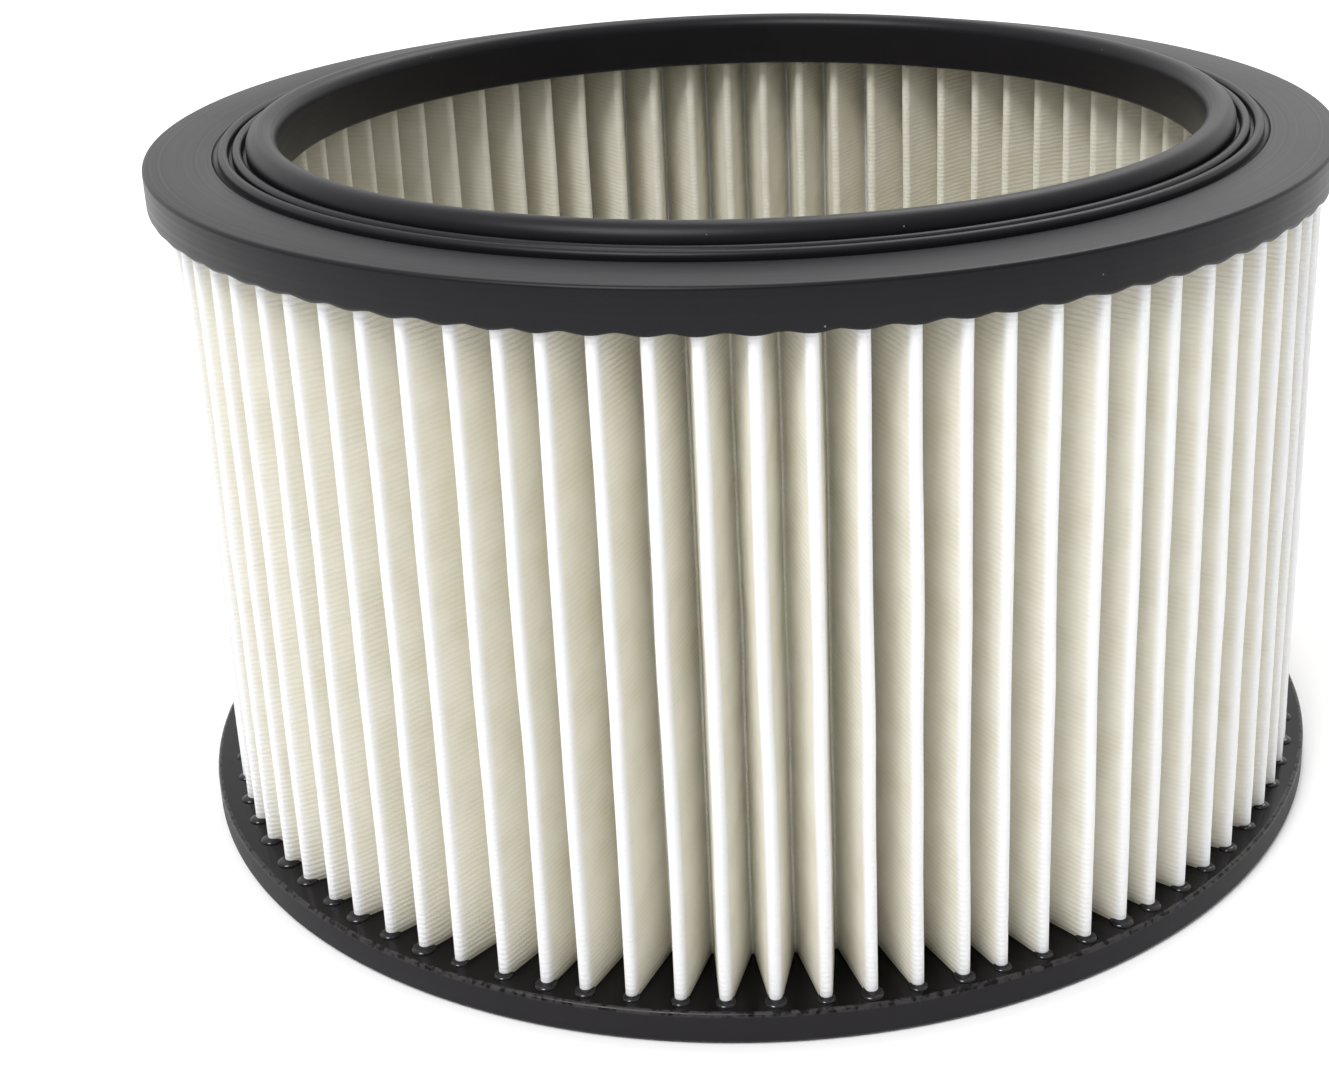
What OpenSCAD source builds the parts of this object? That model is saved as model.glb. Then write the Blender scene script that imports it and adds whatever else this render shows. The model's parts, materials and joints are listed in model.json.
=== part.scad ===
// Pleated cartridge filter: one ring of folded fleece, potted at both ends in moulded end caps.
// The base stands on Z = 0, the axis of the caps is Z, and -Y is the front.

/* [Overall] */
// Height of the top cap's flat flange above the base
flange_h = 107; // [60:1:160]
// Outside diameter of the top cap
cap_d = 185; // [176:1:200]
// Bore through both end caps
bore_d = 145; // [136:1:150]

/* [Pleated media] */
// Number of pleats
pleat_count = 76; // [60:1:84]
// Distance from the pleat tips to the top cap's rim
tip_margin = 2.9; // [2.6:0.1:4]
// Distance from the bore to the inner folds
fold_margin = 5; // [3:0.5:7]
// Thickness of the fleece
media_t = 0.65; // [0.4:0.05:0.8]
// Radius on the inside of each fold
fold_r = 0.22; // [0.15:0.01:0.4]
// Share by which the pleats stand closer together at the front than at the sides
pleat_crowding = 0.115; // [0:0.005:0.15]
// Most that a pleat stands out of its even place, in degrees
pleat_scatter = 0.25; // [0:0.05:0.4]
// Angle that sets the order of the pleats' scatter
scatter_angle = 97; // [1:1:179]
// Sideways offset of the pleat ring from the axis of the caps
pack_dx = 0.5; // [-1:0.1:1]
// Offset of the pleat ring from the axis of the caps, towards the back
pack_dy = -1.8; // [-1.8:0.1:1.8]
// Depth that the pleat ends are potted in each cap
potting_depth = 2.6; // [1:0.1:3.5]

/* [Top end cap] */
// Thickness of the top cap's flange
top_cap_t = 6; // [5:0.2:9]
// Radius on the rims of both caps
rim_round = 0.6; // [0.2:0.1:1]
// Width of the raised sealing lip round the bore
lip_w = 4.8; // [3:0.2:5.2]
// Height of the lip's crest above the flange
lip_rise = 3.2; // [2.8:0.1:6]
// Number of low beads that run round outside the lip
bead_count = 2; // [1:1:3]
// Radius of a bead's rounded top
bead_r = 0.8; // [0.4:0.05:1]
// Height of the beads above the flange
bead_rise = 1; // [0.2:0.1:1.6]
// Width of the grooves beside and between the beads
groove_w = 0.5; // [0.3:0.05:1]
// Depth of those grooves below the flange
groove_depth = 0.4; // [0.2:0.1:1]

/* [Bottom end cap] */
// Thickness of the bottom cap
base_t = 4.8; // [4:0.2:8]
// Distance that the bottom cap's rim stands outside the top cap's
base_overhang = 1; // [0:0.1:2]

/* [Hidden] */
$fn = 96;
cap_colour = "#1d1c20";
media_colour = "#e8e5d8";

// Heights
top_cap_z = flange_h - top_cap_t;
media_z = base_t - potting_depth;
media_h = top_cap_z + potting_depth - media_z;

// Radii in the caps' section
bore_r = bore_d / 2;
cap_r = cap_d / 2;
base_r = cap_r + base_overhang;
lip_r = lip_w / 2;
bead_pitch = 2 * bead_r + groove_w;
groove_z = flange_h - groove_depth;
bead_z = flange_h + bead_rise - bead_r;
rim_steps = 3;
crest_steps = 8;
bead_steps = 4;

// Folds: pairs of circles, one inside each pleat tip and one outside each inner fold
fold_steps = 3;
fold_count = 2 * pleat_count;
fold_mid_r = fold_r + media_t / 2;
tip_centre_r = cap_r - tip_margin - fold_r - media_t;
inner_centre_r = bore_r + fold_margin + fold_r + media_t;

// Angle of a pleat tip, 0 at the front and growing towards +X
function tip_angle(k) =
    let (even = 360 * k / pleat_count, turn = k % pleat_count)
    even - pleat_crowding * 180 / PI * sin(even) + pleat_scatter * sin(scatter_angle * turn * turn);

function ring_point(r, angle) = [pack_dx + r * sin(angle), pack_dy - r * cos(angle)];

function is_tip(i) = i % 2 == 0;

// A path round the ring turns left at a tip and right at an inner fold
function turn_side(i) = is_tip(i) ? 1 : -1;

function fold_centre(i) =
    is_tip(i)
        ? ring_point(tip_centre_r, tip_angle(i / 2))
        : ring_point(inner_centre_r, (tip_angle((i - 1) / 2) + tip_angle((i + 1) / 2)) / 2);

function positive_angle(a) = ((a % 360) + 360) % 360;

fold_centres = [for (i = [0 : fold_count - 1]) fold_centre(i)];

// Direction of the straight flank that leaves each fold and touches the next
flank_directions = [
    for (i = [0 : fold_count - 1])
        let (span = fold_centres[(i + 1) % fold_count] - fold_centres[i])
        atan2(span.y, span.x) + turn_side(i) * asin(2 * fold_mid_r / norm(span))
];

// One face of the folded fleece, at a distance outside its middle
function fleece_face(outside) = [
    for (i = [0 : fold_count - 1])
        let (
            side = turn_side(i),
            arriving = flank_directions[(i + fold_count - 1) % fold_count],
            turn = side * positive_angle(side * (flank_directions[i] - arriving)),
            r = fold_mid_r + side * outside
        )
        for (step = [0 : fold_steps])
            let (a = arriving + turn * step / fold_steps - side * 90)
            fold_centres[i] + r * [cos(a), sin(a)]
];

module pleat_section() {
    difference() {
        polygon(fleece_face(media_t / 2));
        polygon(fleece_face(-media_t / 2));
    }
}

module media_solid() {
    translate([0, 0, media_z])
        linear_extrude(height = media_h)
            pleat_section();
}

// Points on an arc, in even steps
function arc(centre, r, from, to, steps) = [
    for (step = [0 : steps])
        let (a = from + (to - from) * step / steps)
        centre + r * [cos(a), sin(a)]
];

// A plain ring's section, with its four corners rounded
function ring_outline(r_in, r_out, z_low, z_high, corner) = concat(
    arc([r_in + corner, z_low + corner], corner, 180, 270, rim_steps),
    arc([r_out - corner, z_low + corner], corner, 270, 360, rim_steps),
    arc([r_out - corner, z_high - corner], corner, 0, 90, rim_steps),
    arc([r_in + corner, z_high - corner], corner, 90, 180, rim_steps)
);

// Middle radius of a bead, counted outwards from the lip
function bead_mid(i) = bore_r + lip_w + groove_w + bead_r + i * bead_pitch;

// The beads and the grooves between them, from the flange inwards to the lip
beads_outline = [
    for (i = [bead_count - 1 : -1 : 0])
        each concat(
            [[bead_mid(i) + bead_r, groove_z]],
            arc([bead_mid(i), bead_z], bead_r, 0, 180, bead_steps),
            [[bead_mid(i) - bead_r, groove_z]]
        )
];

// The top cap's section: underside, rim, flange, beads with their grooves, and lip
function top_cap_outline() = concat(
    arc([bore_r + rim_round, top_cap_z + rim_round], rim_round, 180, 270, rim_steps),
    arc([cap_r - rim_round, top_cap_z + rim_round], rim_round, 270, 360, rim_steps),
    arc([cap_r - rim_round, flange_h - rim_round], rim_round, 0, 90, rim_steps),
    [
        [bead_mid(bead_count - 1) + bead_r + groove_w, flange_h],
        [bead_mid(bead_count - 1) + bead_r + groove_w, groove_z]
    ],
    beads_outline,
    [[bore_r + lip_w, groove_z]],
    arc([bore_r + lip_r, flange_h + lip_rise - lip_r], lip_r, 0, 180, crest_steps)
);

// Top end cap: flat flange, low beads and raised sealing lip, moulded round the pleat ends
module top_end_cap() {
    color(cap_colour)
        difference() {
            rotate_extrude() polygon(top_cap_outline());
            media_solid();
        }
}

// Pleated media: one closed ring of folded fleece
module pleated_media() {
    color(media_colour) media_solid();
}

// Bottom end cap: a flat ring moulded round the pleat ends
module bottom_end_cap() {
    color(cap_colour)
        difference() {
            rotate_extrude() polygon(ring_outline(bore_r, base_r, 0, base_t, rim_round));
            media_solid();
        }
}

top_end_cap();
pleated_media();
bottom_end_cap();
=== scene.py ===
"""Pleated cartridge filter: fleece, cast end caps, potting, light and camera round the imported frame."""

import json
import math

import bmesh
import bpy
from mathutils import Matrix, Vector


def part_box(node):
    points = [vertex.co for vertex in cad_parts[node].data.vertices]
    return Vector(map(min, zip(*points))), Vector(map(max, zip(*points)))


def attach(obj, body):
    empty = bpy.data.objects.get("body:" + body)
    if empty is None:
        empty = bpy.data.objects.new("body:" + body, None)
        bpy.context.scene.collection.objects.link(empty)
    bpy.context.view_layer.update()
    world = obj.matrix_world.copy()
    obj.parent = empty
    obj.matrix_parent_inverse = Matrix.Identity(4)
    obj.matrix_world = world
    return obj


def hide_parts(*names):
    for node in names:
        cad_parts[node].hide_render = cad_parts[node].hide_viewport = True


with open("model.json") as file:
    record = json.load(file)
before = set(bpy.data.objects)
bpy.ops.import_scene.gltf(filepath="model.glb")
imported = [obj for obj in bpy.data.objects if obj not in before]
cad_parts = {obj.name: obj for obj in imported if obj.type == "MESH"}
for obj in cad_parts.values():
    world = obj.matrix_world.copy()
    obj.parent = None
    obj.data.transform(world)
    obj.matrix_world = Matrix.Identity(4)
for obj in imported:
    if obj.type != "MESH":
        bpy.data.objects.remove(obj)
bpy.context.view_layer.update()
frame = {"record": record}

MM = 0.001
TAU = 2 * math.pi


# Sizes taken from the frame

def mount(name):
    return next(m for m in frame["record"]["mounts"] if m["name"] == name)


top_low, top_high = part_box("top_end_cap")
base_low, base_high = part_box("bottom_end_cap")
media_low, media_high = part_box("pleated_media")

BORE_R = mount("top_bore")["dims"]["r_mm"] * MM
CAP_R = (top_high.x - top_low.x) / 2
BASE_R = (base_high.x - base_low.x) / 2
TOP_CAP_Z = top_low.z
LIP_Z = top_high.z
FLANGE_Z = mount("sealing_face")["pos_m"][2]
BASE_T = base_high.z
MEDIA_BOTTOM = media_low.z
MEDIA_TOP = media_high.z

# Sizes of the folded fleece
PLEATS = 76
TIP_MARGIN = 2.9 * MM
FOLD_MARGIN = 5 * MM
MEDIA_T = 0.65 * MM
FOLD_R = 0.22 * MM
CROWDING = 0.115
SCATTER = math.radians(0.25)
SCATTER_ANGLE = math.radians(97)
PACK_X = 0.5 * MM
PACK_Y = -1.8 * MM
BEND_R = FOLD_R + MEDIA_T / 2
TIP_CENTRE_R = CAP_R - TIP_MARGIN - FOLD_R - MEDIA_T
FOLD_CENTRE_R = BORE_R + FOLD_MARGIN + FOLD_R + MEDIA_T
BEND_STEPS = 8
HEIGHT_STEPS = 26

# Sizes of the end caps' rims, lip and beads
RIM_ROUND = 0.6 * MM
LIP_W = 4.8 * MM
BEADS = 2
BEAD_R = 0.8 * MM
BEAD_RISE = 1.0 * MM
GROOVE_W = 0.5 * MM
GROOVE_DEPTH = 0.4 * MM
CAP_COLUMNS = 912

# Sizes of the potting round the pleat ends
SKIRT_DROOP = 0.5 * MM
POTTING_R = 1.5 * MM
POTTING_H = 0.55 * MM


# Node trees written as expressions

class Wire:
    """A socket in a node tree. Arithmetic on it adds Math nodes to the same tree."""

    def __init__(self, graph, socket):
        self.graph = graph
        self.socket = socket

    def other(self, name):
        return Wire(self.graph, self.socket.node.outputs[name])

    def __add__(self, value):
        return self.graph.math("ADD", self, value)

    __radd__ = __add__

    def __mul__(self, value):
        return self.graph.math("MULTIPLY", self, value)

    __rmul__ = __mul__

    def __sub__(self, value):
        return self.graph.math("SUBTRACT", self, value)

    def __rsub__(self, value):
        return self.graph.math("SUBTRACT", value, self)

    def __truediv__(self, value):
        return self.graph.math("DIVIDE", self, value)

    def __rtruediv__(self, value):
        return self.graph.math("DIVIDE", value, self)

    def __pow__(self, value):
        return self.graph.math("POWER", self, value)

    def __mod__(self, value):
        return self.graph.math("FLOORED_MODULO", self, value)

    def __neg__(self):
        return self.graph.math("MULTIPLY", self, -1.0)


class Graph:
    """A node tree that is filled by function calls."""

    def __init__(self, tree):
        self.tree = tree

    def add(self, kind, sockets=None, output=0, stops=None, **settings):
        node = self.tree.nodes.new(kind)
        for name, value in settings.items():
            setattr(node, name, value)
        if stops:
            ramp = node.color_ramp
            while len(ramp.elements) < len(stops):
                ramp.elements.new(0.5)
            for element, (place, colour) in zip(ramp.elements, stops):
                element.position = place
                element.color = (*colour, 1.0) if len(colour) == 3 else colour
        for key, value in (sockets or {}).items():
            socket = node.inputs[key]
            if isinstance(value, Wire):
                self.tree.links.new(value.socket, socket)
            else:
                socket.default_value = value
        return Wire(self, node.outputs[output]) if node.outputs else node

    def math(self, operation, *values):
        return self.add("ShaderNodeMath", dict(enumerate(values)), operation=operation)

    def floor(self, value):
        return self.math("FLOOR", value)

    def sin(self, value):
        return self.math("SINE", value)

    def cos(self, value):
        return self.math("COSINE", value)

    def sqrt(self, value):
        return self.math("SQRT", value)

    def vector(self, x, y, z):
        return self.add("ShaderNodeCombineXYZ", {0: x, 1: y, 2: z})

    def split(self, vector):
        x = self.add("ShaderNodeSeparateXYZ", {0: vector})
        return x, x.other("Y"), x.other("Z")

    def step(self, value, low, high):
        """0 below low, 1 above high, smooth between."""
        return self.add(
            "ShaderNodeMapRange",
            {"Value": value, "From Min": low, "From Max": high, "To Min": 0.0, "To Max": 1.0},
            interpolation_type="SMOOTHSTEP",
        )

    def mix(self, factor, a, b):
        return self.add(
            "ShaderNodeMix", {0: factor, 6: a, 7: b}, output=2, data_type="RGBA"
        )


# The pleats' rule, in Python and in Geometry Nodes

def tip_angle(k):
    even = TAU * k / PLEATS
    turn = k % PLEATS
    return even - CROWDING * math.sin(even) + SCATTER * math.sin(SCATTER_ANGLE * turn * turn)


def tip_point(k):
    angle = tip_angle(k)
    return Vector((PACK_X + TIP_CENTRE_R * math.sin(angle), PACK_Y - TIP_CENTRE_R * math.cos(angle)))


def geometry_tree(name, inputs):
    tree = bpy.data.node_groups.new(name, "GeometryNodeTree")
    for label, kind in inputs:
        tree.interface.new_socket(label, in_out="INPUT", socket_type=kind)
    tree.interface.new_socket("Geometry", in_out="OUTPUT", socket_type="NodeSocketGeometry")
    graph = Graph(tree)
    start = tree.nodes.new("NodeGroupInput")
    given = {label: Wire(graph, start.outputs[label]) for label, _ in inputs}
    return graph, given


def finish_tree(graph, geometry, material):
    real = graph.add("GeometryNodeRealizeInstances", {0: geometry})
    done = graph.add("GeometryNodeSetMaterial", {"Geometry": real, "Material": material})
    end = graph.tree.nodes.new("NodeGroupOutput")
    graph.tree.links.new(done.socket, end.inputs["Geometry"])


def grown(name, tree, values):
    """Runs a geometry tree with the given inputs and returns its result as a plain mesh object."""
    holder = bpy.data.objects.new(name + "_holder", bpy.data.meshes.new(name + "_holder"))
    bpy.context.scene.collection.objects.link(holder)
    modifier = holder.modifiers.new("grow", "NODES")
    modifier.node_group = tree
    sockets = {s.name: s.identifier for s in tree.interface.items_tree if s.in_out == "INPUT"}
    for label, value in values.items():
        modifier[sockets[label]] = value
    bpy.context.view_layer.update()
    evaluated = holder.evaluated_get(bpy.context.evaluated_depsgraph_get())
    mesh = bpy.data.meshes.new_from_object(evaluated)
    bpy.data.objects.remove(holder)
    mesh.name = name
    piece = bpy.data.objects.new(name, mesh)
    bpy.context.scene.collection.objects.link(piece)
    return piece


PLEAT_INPUTS = [
    ("Pleats", "NodeSocketInt"),
    ("Crowding", "NodeSocketFloat"),
    ("Scatter", "NodeSocketFloat"),
    ("Scatter angle", "NodeSocketFloat"),
    ("Offset X", "NodeSocketFloat"),
    ("Offset Y", "NodeSocketFloat"),
    ("Tip centre radius", "NodeSocketFloat"),
]
PLEAT_VALUES = {
    "Pleats": PLEATS,
    "Crowding": CROWDING,
    "Scatter": SCATTER,
    "Scatter angle": SCATTER_ANGLE,
    "Offset X": PACK_X,
    "Offset Y": PACK_Y,
    "Tip centre radius": TIP_CENTRE_R,
}


def tip_angle_field(graph, given, k):
    even = k * TAU / given["Pleats"]
    turn = k % given["Pleats"]
    scatter = given["Scatter"] * graph.sin(given["Scatter angle"] * turn * turn)
    return even - given["Crowding"] * graph.sin(even) + scatter


def ring_point_field(graph, given, radius, angle):
    x = given["Offset X"] + radius * graph.sin(angle)
    y = given["Offset Y"] - radius * graph.cos(angle)
    return x, y


def fold_centre_field(graph, given, index):
    """Centre of a fold's bend: even numbers are pleat tips, odd numbers are inner folds."""
    before = tip_angle_field(graph, given, graph.floor(index / 2))
    after = tip_angle_field(graph, given, graph.floor((index + 1) / 2))
    tip = 1 - index % 2
    inner = given["Fold centre radius"]
    radius = inner + tip * (given["Tip centre radius"] - inner)
    return ring_point_field(graph, given, radius, (before + after) / 2)


def flank_direction_field(graph, given, start, end, side):
    dx = end[0] - start[0]
    dy = end[1] - start[1]
    length = graph.sqrt(dx * dx + dy * dy)
    lean = graph.math("ARCSINE", 2 * given["Bend radius"] / length)
    return graph.math("ARCTAN2", dy, dx) + side * lean


def fleece_tree(material):
    """The middle of the fleece: one grid folded round the ring by the pleats' rule."""
    graph, given = geometry_tree(
        "Fleece ring",
        PLEAT_INPUTS
        + [
            ("Fold centre radius", "NodeSocketFloat"),
            ("Bend radius", "NodeSocketFloat"),
            ("Bend steps", "NodeSocketInt"),
            ("Height steps", "NodeSocketInt"),
            ("Bottom", "NodeSocketFloat"),
            ("Top", "NodeSocketFloat"),
            ("Wander", "NodeSocketFloat"),
            ("Flank length", "NodeSocketFloat"),
        ],
    )
    per_fold = given["Bend steps"] + 1
    columns = given["Pleats"] * 2 * per_fold
    grid = graph.add(
        "GeometryNodeMeshGrid",
        {"Size X": columns, "Size Y": 1.0, "Vertices X": columns + 1, "Vertices Y": given["Height steps"]},
    )
    across, along, _ = graph.split(graph.add("GeometryNodeInputPosition"))
    column = graph.floor(across + columns / 2 + 0.5)
    height = along + 0.5
    index = graph.floor(column / per_fold)
    bend_share = (column - index * per_fold) / given["Bend steps"]
    side = 1 - 2 * (index % 2)

    previous = fold_centre_field(graph, given, index - 1)
    here = fold_centre_field(graph, given, index)
    following = fold_centre_field(graph, given, index + 1)
    arriving = flank_direction_field(graph, given, previous, here, -side)
    leaving = flank_direction_field(graph, given, here, following, side)
    turn = side * ((side * (leaving - arriving)) % TAU)
    angle = arriving + turn * bend_share - side * (math.pi / 2)
    x = here[0] + given["Bend radius"] * graph.cos(angle)
    y = here[1] + given["Bend radius"] * graph.sin(angle)
    z = given["Bottom"] + height * (given["Top"] - given["Bottom"])

    # The folds wander a little between the caps that hold them
    slack = 4 * height * (1 - height) * given["Wander"]
    wave = graph.add(
        "ShaderNodeTexNoise",
        {"Vector": graph.vector(here[0] * 400, here[1] * 400, z * 28), "Scale": 1.0, "Detail": 1.0},
        output="Color",
    )
    wave_x, wave_y, _ = graph.split(wave)
    place = graph.vector(x + (wave_x - 0.5) * slack, y + (wave_y - 0.5) * slack, z)

    strip_u = index * given["Flank length"] + bend_share * math.pi * given["Bend radius"]
    mapped = graph.add(
        "GeometryNodeStoreNamedAttribute",
        {"Geometry": grid, "Name": "strip", "Value": graph.vector(strip_u, z, 0.0)},
        data_type="FLOAT2",
        domain="CORNER",
    )
    folded = graph.add("GeometryNodeSetPosition", {"Geometry": mapped, "Position": place})
    closed = graph.add("GeometryNodeMergeByDistance", {"Geometry": folded, "Distance": 1e-6})
    smooth = graph.add("GeometryNodeSetShadeSmooth", {"Geometry": closed, "Shade Smooth": True})
    finish_tree(graph, smooth, material)
    return graph.tree


def potting_tree(material):
    """A low mound of potting round the foot of every pleat tip."""
    graph, given = geometry_tree(
        "Potting mounds",
        PLEAT_INPUTS
        + [
            ("Height above base", "NodeSocketFloat"),
            ("Mound radius", "NodeSocketFloat"),
            ("Mound height", "NodeSocketFloat"),
        ],
    )
    row = graph.add("GeometryNodeMeshLine", {"Count": given["Pleats"]})
    number = graph.add("GeometryNodeInputIndex")
    angle = tip_angle_field(graph, given, number)
    x, y = ring_point_field(graph, given, given["Tip centre radius"] + given["Mound radius"] * 0.25, angle)
    placed = graph.add(
        "GeometryNodeSetPosition",
        {"Geometry": row, "Position": graph.vector(x, y, given["Height above base"])},
    )
    ball = graph.add("GeometryNodeMeshUVSphere", {"Segments": 24, "Rings": 12, "Radius": 1.0})
    vary = graph.add(
        "FunctionNodeRandomValue", {2: 0.85, 3: 1.2, "Seed": 4}, output=1, data_type="FLOAT"
    )
    size = graph.vector(
        given["Mound radius"] * vary, given["Mound radius"] * vary, given["Mound height"] * vary
    )
    mounds = graph.add(
        "GeometryNodeInstanceOnPoints",
        {"Points": placed, "Instance": ball, "Scale": size, "Rotation": graph.vector(0.0, 0.0, angle)},
    )
    real = graph.add("GeometryNodeRealizeInstances", {0: mounds})
    smooth = graph.add("GeometryNodeSetShadeSmooth", {"Geometry": real, "Shade Smooth": True})
    finish_tree(graph, smooth, material)
    return graph.tree


# Materials

def new_material(name):
    material = bpy.data.materials.new(name)
    material.use_nodes = True
    material.node_tree.nodes.clear()
    return material, Graph(material.node_tree)


def surface(graph, sockets):
    shader = graph.add("ShaderNodeBsdfPrincipled", sockets)
    graph.add("ShaderNodeOutputMaterial", {"Surface": shader})


def bump(graph, height, strength=1.0):
    return graph.add("ShaderNodeBump", {"Height": height, "Distance": 1.0, "Strength": strength})


def object_coordinates(graph):
    return graph.add("ShaderNodeTexCoord", output="Object")


def noise(graph, vector, scale, detail=2.0, **settings):
    return graph.add(
        "ShaderNodeTexNoise", {"Vector": vector, "Scale": scale, "Detail": detail}, output="Fac", **settings
    )


def dust(graph, place, cell, size, share):
    """1 on sparse specks: one in each cell of the given size, kept for a share of the cells."""
    cells = graph.add(
        "ShaderNodeTexVoronoi", {"Vector": place, "Scale": 1 / cell, "Randomness": 1.0}, output="Distance"
    )
    pick, _, _ = graph.split(cells.other("Color"))
    speck = 1 - graph.step(cells, size / cell * 0.6, size / cell)
    return speck * graph.step(pick, 1 - share, 1 - share + 0.02)


def fleece_material():
    """Spunbond polyester: cream with fine ribs across the strip, and a painted highlight that whitens the pleat
    tips.
    """
    material, graph = new_material("fleece")
    place = object_coordinates(graph)
    x, y, _ = graph.split(place)
    strip = graph.add("ShaderNodeUVMap", uv_map="strip")
    u, v, _ = graph.split(strip)
    across = x - PACK_X
    deep = y - PACK_Y
    radius = graph.sqrt(across * across + deep * deep)
    # painted highlight: mask of the pleat tips near the rim, where the fleece is painted whiter
    tip = graph.step(radius, CAP_R - TIP_MARGIN - 1.6 * MM, CAP_R - TIP_MARGIN - 0.3 * MM)

    drift = noise(graph, graph.vector(u * 260, v * 420, 0.0), 1.0, 3.0)
    ribs = graph.sin((v + drift * 0.7 * MM) * (TAU / (0.8 * MM)))
    fibres = noise(graph, graph.vector(u * 2600, v * 5200, 0.0), 1.0, 4.0)
    blotch = noise(graph, place, 160, 3.0)

    cream = graph.mix(graph.step(blotch, 0.35, 0.7), (0.80, 0.775, 0.68, 1), (0.74, 0.71, 0.60, 1))
    ribbed = graph.mix(graph.step(ribs, -0.2, 1.0) * 0.35, cream, (0.84, 0.82, 0.75, 1))
    # painted highlight: the pleat tips get a near-white colour
    colour = graph.mix(tip, ribbed, (0.86, 0.86, 0.87, 1))
    height = ribs * (0.022 * MM) + fibres * (0.06 * MM)
    surface(
        graph,
        {"Base Color": colour, "Roughness": 0.85, "Normal": bump(graph, height, 0.8), "Specular IOR Level": 0.2},
    )
    return material


def cap_material():
    """Cast polyurethane: satin black with fine rings from the mould and a little dust."""
    material, graph = new_material("cap_polyurethane")
    place = object_coordinates(graph)
    x, y, z = graph.split(place)
    radius = graph.sqrt(x * x + y * y)
    rings = graph.add(
        "ShaderNodeTexNoise",
        {"W": radius * 2400 + z * 1500, "Scale": 1.0, "Detail": 2.0},
        output="Fac",
        noise_dimensions="1D",
    )
    grain = noise(graph, place, 1500, 3.0)
    haze = noise(graph, place, 45, 3.0)
    specks = dust(graph, place, 5 * MM, 0.16 * MM, 0.35)
    black = graph.mix(haze, (0.004, 0.0036, 0.005, 1), (0.008, 0.0072, 0.0095, 1))
    colour = graph.mix(specks, black, (0.20, 0.20, 0.20, 1))
    rough = 0.30 + rings * 0.10 + haze * 0.08 + specks * 0.3
    height = rings * (0.012 * MM) + grain * (0.006 * MM)
    surface(
        graph,
        {"Base Color": colour, "Roughness": rough, "Normal": bump(graph, height), "Specular IOR Level": 0.2},
    )
    return material


def potting_material():
    """The same polyurethane where it set free of the mould: darker and glossy."""
    material, graph = new_material("potting_polyurethane")
    place = object_coordinates(graph)
    ripple = noise(graph, place, 220, 2.0)
    surface(
        graph,
        {
            "Base Color": (0.006, 0.0055, 0.008, 1),
            "Roughness": 0.12,
            "Normal": bump(graph, ripple * (0.05 * MM)),
            "Specular IOR Level": 0.5,
        },
    )
    return material


def base_material():
    """The bottom cap: glossy on the free upper face, dull on the moulded side, with painted shade darkening the
    upper face and a broken painted highlight along the rounded edge between.
    """
    material, graph = new_material("base_polyurethane")
    place = object_coordinates(graph)
    x, y, z = graph.split(place)
    radius = graph.sqrt(x * x + y * y)
    # 1 on the moulded side, 0 on the upper face: sets roughness, dust and the painted shade of the upper face
    side = 1 - graph.step(z, BASE_T - 0.75 * MM, BASE_T - 0.35 * MM)
    grain = noise(graph, place, 900, 4.0)
    haze = noise(graph, place, 60, 3.0)
    edge = graph.step(radius, BASE_R - 0.75 * MM, BASE_R - 0.45 * MM) * graph.step(
        z, BASE_T - 0.8 * MM, BASE_T - 0.4 * MM
    )
    # painted highlight: a broken lighter line along the rounded upper outer edge, which is also made rougher and
    # bumped there
    edge_highlight = edge * graph.step(grain, 0.35, 0.6)
    specks = dust(graph, place, 4 * MM, 0.16 * MM, 0.4) * side
    # painted shade: the upper face, shaded by the pleats, gets a darker black than the side
    black = graph.mix(side, (0.003, 0.0027, 0.0035, 1), (0.012, 0.0105, 0.013, 1))
    # painted highlight: the edge line is painted a lighter grey
    colour = graph.mix(edge_highlight * 0.6, black, (0.06, 0.056, 0.055, 1))
    dusted = graph.mix(specks, colour, (0.16, 0.155, 0.15, 1))
    rough = 0.16 + side * (0.34 + haze * 0.1) + edge_highlight * 0.25
    height = grain * (0.012 * MM) * (side + edge_highlight) + haze * (0.02 * MM)
    surface(
        graph,
        {"Base Color": dusted, "Roughness": rough, "Normal": bump(graph, height), "Specular IOR Level": 0.2},
    )
    return material


def lint_material():
    material, graph = new_material("lint")
    place = object_coordinates(graph)
    tone = noise(graph, place, 3000, 2.0)
    colour = graph.mix(tone, (0.6, 0.6, 0.6, 1), (0.9, 0.9, 0.9, 1))
    surface(graph, {"Base Color": colour, "Roughness": 0.9})
    return material


def floor_material():
    """A plain white floor."""
    material, graph = new_material("floor")
    place = object_coordinates(graph)
    tone = noise(graph, place, 6, 2.0)
    colour = graph.mix(tone, (0.93, 0.93, 0.93, 1), (0.95, 0.95, 0.95, 1))
    surface(graph, {"Base Color": colour, "Roughness": 0.9, "Specular IOR Level": 0.0})
    return material


# Pieces of the end caps

def arc(r, z, radius, start, stop, steps):
    """Points (r, z) on an arc in the caps' section, angles in degrees."""
    points = []
    for i in range(steps + 1):
        angle = math.radians(start + (stop - start) * i / steps)
        points.append((r + radius * math.cos(angle), z + radius * math.sin(angle)))
    return points


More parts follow.
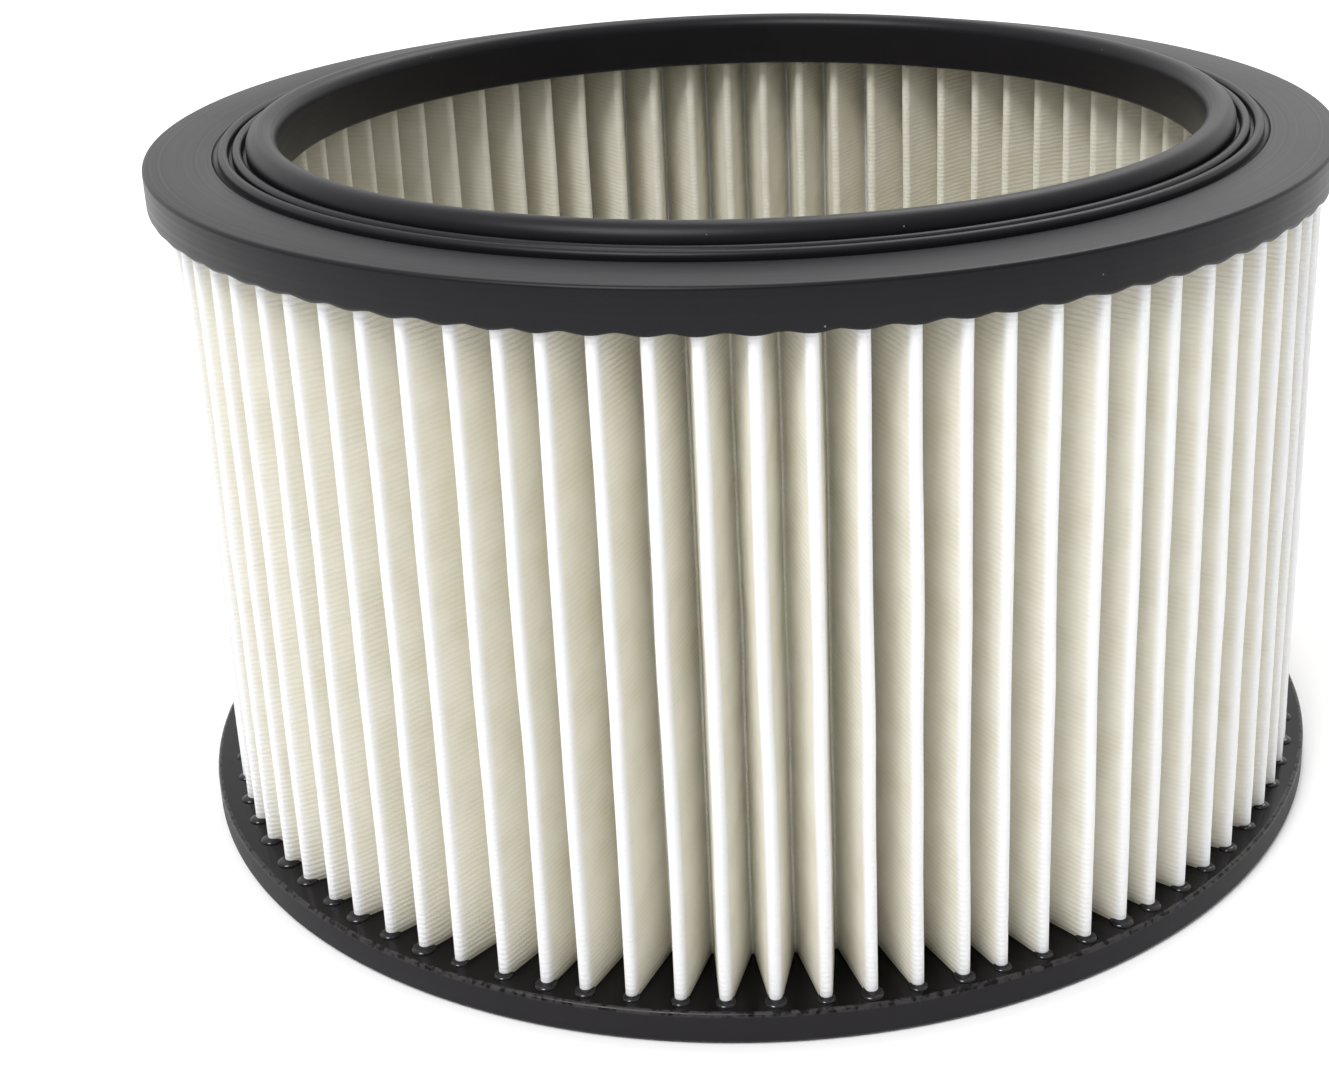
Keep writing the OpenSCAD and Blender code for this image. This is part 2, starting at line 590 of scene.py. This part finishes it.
def top_cap_outline():
    """The top cap's section, from the bore's lower edge round the rim, flange, beads and lip."""
    corner = RIM_ROUND
    groove = FLANGE_Z - GROOVE_DEPTH
    lip_r = LIP_W / 2
    outline = arc(BORE_R + corner, TOP_CAP_Z + corner, corner, 180, 270, 5)
    outline += arc(CAP_R - corner, TOP_CAP_Z + corner, corner, 270, 360, 5)
    outline += arc(CAP_R - corner, FLANGE_Z - corner, corner, 0, 90, 6)
    beads = [BORE_R + LIP_W + GROOVE_W + BEAD_R + i * (2 * BEAD_R + GROOVE_W) for i in range(BEADS)]
    outline += arc(beads[-1] + BEAD_R + 2 * GROOVE_W, FLANGE_Z - 0.3 * GROOVE_W, 0.3 * GROOVE_W, 90, 180, 3)
    outline += [(beads[-1] + BEAD_R + GROOVE_W, groove)]
    for middle in reversed(beads):
        outline += [(middle + BEAD_R, groove)]
        outline += arc(middle, FLANGE_Z + BEAD_RISE - BEAD_R, BEAD_R, 0, 180, 12)
        outline += [(middle - BEAD_R, groove)]
    outline += [(BORE_R + LIP_W, groove)]
    outline += arc(BORE_R + lip_r, LIP_Z - lip_r, lip_r, 0, 180, 20)
    return outline


def base_outline():
    corner = RIM_ROUND
    outline = arc(BORE_R + corner, corner, corner, 180, 270, 5)
    outline += arc(BASE_R - corner, corner, corner, 270, 360, 5)
    outline += arc(BASE_R - corner, BASE_T - corner, corner, 0, 90, 6)
    outline += arc(BORE_R + corner, BASE_T - corner, corner, 90, 180, 5)
    return outline


def skirt_droop(angle, r, z):
    """How far the top cap's lower outer edge hangs where it wets a pleat tip that stands near the rim."""
    if z > TOP_CAP_Z + 2 * RIM_ROUND or r < CAP_R - 2.5 * RIM_ROUND:
        return 0.0
    best = 0.0
    for tip, reach in TIP_REACH:
        away = abs((angle - tip + math.pi) % TAU - math.pi)
        if away < TAU / PLEATS:
            bump_share = 0.5 + 0.5 * math.cos(away / (TAU / PLEATS) * TAU)
            best = max(best, bump_share * reach if away < TAU / PLEATS / 2 else 0.0)
    fade = 1 - (z - TOP_CAP_Z) / (2 * RIM_ROUND)
    return SKIRT_DROOP * best * fade


def tip_reach():
    """Each pleat tip's angle about the caps' axis, and how strongly it wets the rim."""
    reach = []
    for k in range(PLEATS):
        tip = tip_point(k)
        angle = math.atan2(tip.x, -tip.y)
        margin = CAP_R - tip.length - FOLD_R - MEDIA_T
        reach.append((angle, min(1.0, max(0.0, (3.1 * MM - margin) / (1.6 * MM)))))
    return reach


TIP_REACH = tip_reach()


def revolved(name, outline, material, droop=None):
    """A closed ring with the given section, turned about Z."""
    mesh = bpy.data.meshes.new(name)
    verts = []
    for column in range(CAP_COLUMNS):
        angle = TAU * column / CAP_COLUMNS
        for r, z in outline:
            low = droop(angle, r, z) if droop else 0.0
            verts.append((r * math.sin(angle), -r * math.cos(angle), z - low))
    count = len(outline)
    faces = []
    for column in range(CAP_COLUMNS):
        ahead = (column + 1) % CAP_COLUMNS
        for i in range(count):
            j = (i + 1) % count
            faces.append((column * count + i, ahead * count + i, ahead * count + j, column * count + j))
    mesh.from_pydata(verts, [], faces)
    shape = bmesh.new()
    shape.from_mesh(mesh)
    bmesh.ops.recalc_face_normals(shape, faces=shape.faces)
    shape.to_mesh(mesh)
    shape.free()
    mesh.materials.append(material)
    mesh.shade_smooth()
    mesh.set_sharp_from_angle(angle=math.radians(50))
    piece = bpy.data.objects.new(name, mesh)
    bpy.context.scene.collection.objects.link(piece)
    return piece


def declare(piece, node):
    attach(piece, "root")
    if node:
        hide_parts(node)


def make_fleece():
    material = fleece_material()
    flank = math.hypot(TIP_CENTRE_R - FOLD_CENTRE_R, math.pi * TIP_CENTRE_R / PLEATS)
    values = dict(PLEAT_VALUES)
    values.update(
        {
            "Fold centre radius": FOLD_CENTRE_R,
            "Bend radius": BEND_R,
            "Bend steps": BEND_STEPS,
            "Height steps": HEIGHT_STEPS,
            "Bottom": MEDIA_BOTTOM,
            "Top": MEDIA_TOP,
            "Wander": 0.9 * MM,
            "Flank length": flank + math.pi * BEND_R,
        }
    )
    piece = grown("fleece_pleats", fleece_tree(material), values)
    shell = piece.modifiers.new("thickness", "SOLIDIFY")
    shell.thickness = MEDIA_T
    shell.offset = 0.0
    shell.use_even_offset = False
    evaluated = piece.evaluated_get(bpy.context.evaluated_depsgraph_get())
    mesh = bpy.data.meshes.new_from_object(evaluated)
    piece.modifiers.clear()
    piece.data = mesh
    declare(piece, "pleated_media")
    return piece


def make_potting():
    values = dict(PLEAT_VALUES)
    values.update({"Height above base": BASE_T, "Mound radius": POTTING_R, "Mound height": POTTING_H})
    piece = grown("potting_mounds", potting_tree(potting_material()), values)
    declare(piece, None)
    return piece


def make_caps():
    top = revolved("cast_top_cap", top_cap_outline(), cap_material(), skirt_droop)
    declare(top, "top_end_cap")
    base = revolved("cast_bottom_cap", base_outline(), base_material())
    declare(base, "bottom_end_cap")


# Floor, light and camera

def make_floor():
    bpy.ops.mesh.primitive_plane_add(size=6.0, location=(0, 0, -0.0002))
    floor = bpy.context.object
    floor.name = "floor"
    floor.data.materials.append(floor_material())


def make_world():
    world = bpy.data.worlds.new("studio")
    bpy.context.scene.world = world
    world.use_nodes = True
    world.node_tree.nodes.clear()
    graph = Graph(world.node_tree)
    _, y, z = graph.split(graph.add("ShaderNodeTexCoord", output="Generated"))
    back = graph.step(y * 0.8 + z * 0.6, -0.6, 0.9)
    level = 0.35 + back * 0.75
    seen = graph.add("ShaderNodeLightPath", output="Is Camera Ray")
    strength = level + seen * (1.0 - level)
    glow = graph.add("ShaderNodeBackground", {"Color": (1.0, 1.0, 1.0, 1), "Strength": strength})
    graph.add("ShaderNodeOutputWorld", {"Surface": glow})


def area_light(name, place, aim, size, power, colour=(1.0, 1.0, 1.0)):
    data = bpy.data.lights.new(name, "AREA")
    data.shape = "DISK"
    data.size = size
    data.energy = power
    data.color = colour
    lamp = bpy.data.objects.new(name, data)
    bpy.context.scene.collection.objects.link(lamp)
    lamp.location = place
    lamp.rotation_euler = (Vector(aim) - Vector(place)).to_track_quat("-Z", "Y").to_euler()


def make_lights():
    area_light("key_light", (-0.5, -0.75, 1.3), (0, 0.05, 0.05), 0.7, 16.0)
    area_light("back_light", (0.4, 0.9, 1.3), (0, 0, 0.05), 1.0, 10.0)


# Camera found from the photograph: focal length and centre in its pixels, place in metres, turns in radians
PHOTO_W, PHOTO_H = 1329, 1069
FOCAL_PX = 2039.9
CENTRE_X_PX, CENTRE_Y_PX = 797.5, 401.5
CAMERA_BACK, CAMERA_UP = 0.3220, 0.1780
YAW, PITCH, ROLL = -0.0235, 0.3575, -0.0246
SENSOR_MM = 36.0


def make_camera():
    data = bpy.data.cameras.new("camera")
    data.sensor_fit = "HORIZONTAL"
    data.sensor_width = SENSOR_MM
    data.lens = FOCAL_PX / PHOTO_W * SENSOR_MM
    data.shift_x = (PHOTO_W / 2 - CENTRE_X_PX) / PHOTO_W
    data.shift_y = (CENTRE_Y_PX - PHOTO_H / 2) / PHOTO_W
    data.clip_start = 0.01
    camera = bpy.data.objects.new("camera", data)
    bpy.context.scene.collection.objects.link(camera)
    level = Matrix.Rotation(math.pi / 2, 3, "X")
    turned = Matrix.Rotation(YAW, 3, "Z") @ level
    turned = turned @ Matrix.Rotation(-PITCH, 3, "X") @ Matrix.Rotation(ROLL, 3, "Z")
    camera.matrix_world = Matrix.Translation((0, -CAMERA_BACK, CAMERA_UP)) @ turned.to_4x4()
    bpy.context.scene.camera = camera


make_camera()
make_fleece()
make_caps()
make_potting()
make_floor()
make_world()
make_lights()
bpy.context.scene.view_settings.view_transform = "Standard"
